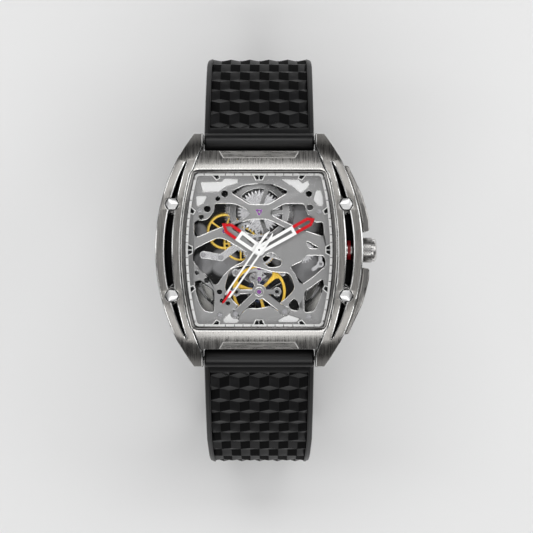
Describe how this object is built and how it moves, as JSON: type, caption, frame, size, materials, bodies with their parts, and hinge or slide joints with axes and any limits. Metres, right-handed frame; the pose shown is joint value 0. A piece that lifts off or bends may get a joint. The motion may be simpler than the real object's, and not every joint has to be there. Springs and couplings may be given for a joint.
{
  "type": "wristwatch",
  "caption": "Skeleton automatic wristwatch with a barrel-shaped arched case, open going train and balance, crown with guards, glazed back and a rubber strap with a pin buckle.",
  "frame": {"origin": "centre of the outer face of the back glass, where the watch rests on the wrist", "axes": "+X towards the crown, +Y towards the twelve o'clock marker, +Z out of the dial"},
  "size_m": [0.0474, 0.0932, 0.0603],
  "materials": {
    "case_steel": "brushed",
    "polished_steel": "polished",
    "strap_rubber": "matt, moulded with a relief pattern",
    "clear_crystal": "polished",
    "black_seal": "matt",
    "red_seal": "satin",
    "white_lacquer": "satin",
    "grey_plate": "sandblasted",
    "bright_plate": "satin",
    "plated_steel": "fine brushed",
    "yellow_brass": "fine brushed",
    "gilt_brass": "gilt",
    "purple_jewel": "polished",
    "blued_steel": "blued"
  },
  "bodies": {
    "case": {"case_middle": "case_steel", "case_front": "case_steel", "side_rail_left": "case_steel", "side_rail_right": "case_steel", "rail_bolts": "polished_steel", "crown_guard_upper": "case_steel", "crown_guard_lower": "case_steel", "crown_tube": "case_steel", "crown_gasket": "red_seal", "crystal_frame": "polished_steel", "crystal": "clear_crystal", "crystal_gasket": "black_seal", "minute_flange": "polished_steel", "hour_markers": "white_lacquer", "front_plate": "grey_plate", "bright_inlays": "bright_plate", "balance_bridge": "bright_plate", "third_wheel_bridge": "bright_plate", "escape_bridge": "bright_plate", "centre_bridge": "bright_plate", "main_plate": "grey_plate", "movement_ring": "bright_plate", "jewels": "purple_jewel", "bridge_screws": "polished_steel", "hairspring": "blued_steel", "rotor_screw": "polished_steel", "case_back": "case_steel", "back_glass": "clear_crystal", "back_screws": "polished_steel", "lug_spring_bars": "plated_steel"},
    "minute": {"minute_hand": "white_lacquer", "cannon_pinion": "yellow_brass"},
    "hour": {"hour_hand": "white_lacquer", "hour_wheel": "yellow_brass"},
    "motion_work": {"minute_wheel": "yellow_brass"},
    "second_train": {"second_wheel": "yellow_brass"},
    "third_train": {"third_wheel": "yellow_brass"},
    "fourth_train": {"fourth_wheel": "yellow_brass", "second_hand": "white_lacquer"},
    "escapement": {"escape_wheel": "plated_steel"},
    "pallet": {"pallet_fork": "plated_steel"},
    "balance": {"balance_wheel": "gilt_brass"},
    "barrel": {"barrel_drum": "plated_steel", "barrel_cover": "plated_steel", "mainspring": "plated_steel"},
    "winding_arbor": {"barrel_arbor": "plated_steel", "ratchet_wheel": "plated_steel"},
    "winding_idler": {"winding_idler": "plated_steel"},
    "crown_wheel": {"winding_crown_wheel": "plated_steel"},
    "winding_pinion": {"winding_pinion": "plated_steel"},
    "crown": {"crown": "polished_steel", "crown_stem": "plated_steel"},
    "setting_lever": {"setting_lever": "plated_steel"},
    "rotor": {"rotor": "plated_steel"},
    "upper_strap": {"strap_upper": "strap_rubber"},
    "lower_strap": {"strap_lower": "strap_rubber"},
    "keeper": {"free_keeper": "strap_rubber"},
    "buckle": {"buckle_frame": "case_steel", "buckle_bar": "polished_steel"},
    "tongue": {"buckle_tongue": "polished_steel"}
  },
  "joints": [
    {"name": "minute_turn", "type": "hinge", "parent": "case", "child": "minute", "pos_m": [0, 0, 0.00835], "axis": [0, 0, 1], "continuous": true},
    {"name": "hour_turn", "type": "hinge", "parent": "case", "child": "hour", "pos_m": [0, 0, 0.00795], "axis": [0, 0, 1], "continuous": true},
    {"name": "minute_wheel_turn", "type": "hinge", "parent": "case", "child": "motion_work", "pos_m": [-0.00323, 0.00287, 0.00625], "axis": [0, 0, 1], "continuous": true},
    {"name": "second_wheel_turn", "type": "hinge", "parent": "case", "child": "second_train", "pos_m": [-0.0074, 0.004, 0.0053], "axis": [0, 0, 1], "continuous": true},
    {"name": "third_wheel_turn", "type": "hinge", "parent": "case", "child": "third_train", "pos_m": [-0.00395, 0.00139, 0.00548], "axis": [0, 0, 1], "continuous": true},
    {"name": "fourth_wheel_turn", "type": "hinge", "parent": "case", "child": "fourth_train", "pos_m": [0, 0, 0.005], "axis": [0, 0, 1], "continuous": true},
    {"name": "escape_wheel_turn", "type": "hinge", "parent": "case", "child": "escapement", "pos_m": [0, -0.00385, 0.00435], "axis": [0, 0, 1], "continuous": true},
    {"name": "barrel_turn", "type": "hinge", "parent": "case", "child": "barrel", "pos_m": [0, 0.0082, 0.0036], "axis": [0, 0, 1], "continuous": true},
    {"name": "pallet_swing", "type": "hinge", "parent": "case", "child": "pallet", "pos_m": [0, -0.00625, 0.00435], "axis": [0, 0, 1], "range_deg": [-5, 5]},
    {"name": "balance_swing", "type": "hinge", "parent": "case", "child": "balance", "pos_m": [0, -0.00896, 0.00575], "axis": [0, 0, 1], "range_deg": [-270, 270], "stiffness_Nm_per_rad": 0.00000036, "deforming": ["hairspring"]},
    {"name": "rotor_turn", "type": "hinge", "parent": "case", "child": "rotor", "pos_m": [0, 0, 0.0015], "axis": [0, 0, 1], "continuous": true},
    {"name": "crown_spin", "type": "hinge", "parent": "case", "child": "winding_pinion", "pos_m": [0.0112, 0, 0.0049], "axis": [1, 0, 0], "continuous": true},
    {"name": "crown_wheel_turn", "type": "hinge", "parent": "case", "child": "crown_wheel", "pos_m": [0.0093, 0, 0.00595], "axis": [0, 0, 1], "continuous": true},
    {"name": "idler_turn", "type": "hinge", "parent": "case", "child": "winding_idler", "pos_m": [0.00615, 0.00278, 0.00595], "axis": [0, 0, 1], "continuous": true},
    {"name": "winding_arbor_turn", "type": "hinge", "parent": "case", "child": "winding_arbor", "pos_m": [0, 0.0082, 0.00595], "axis": [0, 0, 1], "continuous": true},
    {"name": "crown_pull", "type": "slide", "parent": "winding_pinion", "child": "crown", "axis": [1, 0, 0], "range_m": [0, 0.001]},
    {"name": "setting_lever_swing", "type": "hinge", "parent": "case", "child": "setting_lever", "pos_m": [0.0132, -0.003, 0.00555], "axis": [0, 0, 1], "range_deg": [-19.2, 0]},
    {"name": "upper_strap_fold", "type": "hinge", "parent": "case", "child": "upper_strap", "pos_m": [0, 0.0234, 0.0022], "axis": [1, 0, 0], "range_deg": [-5, 24]},
    {"name": "lower_strap_fold", "type": "hinge", "parent": "case", "child": "lower_strap", "pos_m": [0, -0.0234, 0.0022], "axis": [-1, 0, 0], "range_deg": [-5, 35]},
    {"name": "buckle_fold", "type": "hinge", "parent": "upper_strap", "child": "buckle", "pos_m": [0, 0.00561, -0.03305], "axis": [1, 0, 0], "range_deg": [-45, 30]},
    {"name": "tongue_fold", "type": "hinge", "parent": "buckle", "child": "tongue", "pos_m": [0, 0.00561, -0.03305], "axis": [1, 0, 0], "range_deg": [0, 40]},
    {"name": "keeper_slide", "type": "slide", "parent": "upper_strap", "child": "keeper", "axis": [0, 1, 0], "range_m": [-0.0035, 0.0033]}
  ],
  "couplings": [
    {"joint": "hour_turn", "follows": "minute_turn", "ratio": 0.083333},
    {"joint": "minute_wheel_turn", "follows": "minute_turn", "ratio": -0.33333},
    {"joint": "second_wheel_turn", "follows": "minute_turn", "ratio": 1},
    {"joint": "barrel_turn", "follows": "minute_turn", "ratio": -0.14286},
    {"joint": "third_wheel_turn", "follows": "minute_turn", "ratio": -7.5},
    {"joint": "fourth_wheel_turn", "follows": "minute_turn", "ratio": 60},
    {"joint": "escape_wheel_turn", "follows": "minute_turn", "ratio": -600},
    {"joint": "crown_wheel_turn", "follows": "crown_spin", "ratio": -0.42308},
    {"joint": "idler_turn", "follows": "crown_spin", "ratio": 0.6875},
    {"joint": "winding_arbor_turn", "follows": "crown_spin", "ratio": -0.16667},
    {"joint": "setting_lever_swing", "follows": "crown_pull", "rad_per_m": -333.3}
  ]
}
